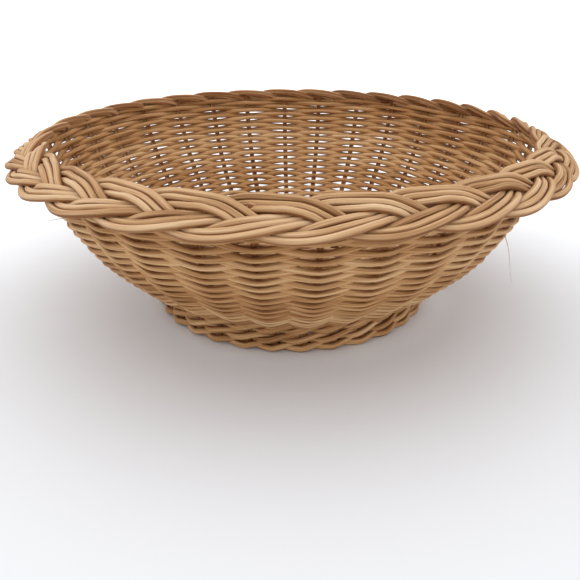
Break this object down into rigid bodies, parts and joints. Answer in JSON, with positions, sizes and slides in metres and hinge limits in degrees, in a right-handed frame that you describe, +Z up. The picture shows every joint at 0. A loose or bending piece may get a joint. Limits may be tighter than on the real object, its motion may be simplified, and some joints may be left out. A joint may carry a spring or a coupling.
{
  "type": "woven reed bowl basket",
  "caption": "Round open bowl basket woven from round reed, with flared sides, a flat plaited border and a low twined foot ring.",
  "frame": {"origin": "centre of the foot ring, on the surface that the basket stands on", "axes": "+Z up along the bowl's axis, -Y towards the viewer of the picture, +X to the viewer's right"},
  "size_m": [0.3005, 0.3007, 0.1017],
  "materials": {
    "reed": "natural reed, matte",
    "stake_reed": "natural reed, matte",
    "base_reed": "natural reed, matte"
  },
  "bodies": {
    "root": {"stake_01": "stake_reed", "stake_02": "stake_reed", "stake_03": "stake_reed", "stake_04": "stake_reed", "stake_05": "stake_reed", "stake_06": "stake_reed", "stake_07": "stake_reed", "stake_08": "stake_reed", "stake_09": "stake_reed", "stake_10": "stake_reed", "stake_11": "stake_reed", "stake_12": "stake_reed", "stake_13": "stake_reed", "stake_14": "stake_reed", "stake_15": "stake_reed", "stake_16": "stake_reed", "stake_17": "stake_reed", "stake_18": "stake_reed", "stake_19": "stake_reed", "stake_20": "stake_reed", "stake_21": "stake_reed", "stake_22": "stake_reed", "stake_23": "stake_reed", "stake_24": "stake_reed", "stake_25": "stake_reed", "stake_26": "stake_reed", "stake_27": "stake_reed", "stake_28": "stake_reed", "stake_29": "stake_reed", "stake_30": "stake_reed", "stake_31": "stake_reed", "wall_weaver_1": "reed", "wall_weaver_2": "reed", "wall_weaver_3": "reed", "wall_weaver_4": "reed", "wall_weaver_5": "reed", "wall_weaver_6": "reed", "wall_weaver_7": "reed", "wall_weaver_8": "reed", "foot_rod_1": "reed", "foot_rod_2": "reed", "foot_rod_3": "reed", "foot_rod_4": "reed", "foot_rod_5": "reed", "foot_rod_6": "reed", "base_stick_1": "base_reed", "base_stick_2": "base_reed", "base_stick_3": "base_reed", "base_stick_4": "base_reed", "base_stick_5": "base_reed", "base_stick_6": "base_reed", "base_stick_7": "base_reed", "base_stick_8": "base_reed", "base_weaver_1": "base_reed", "base_weaver_2": "base_reed"}
  },
  "joints": []
}
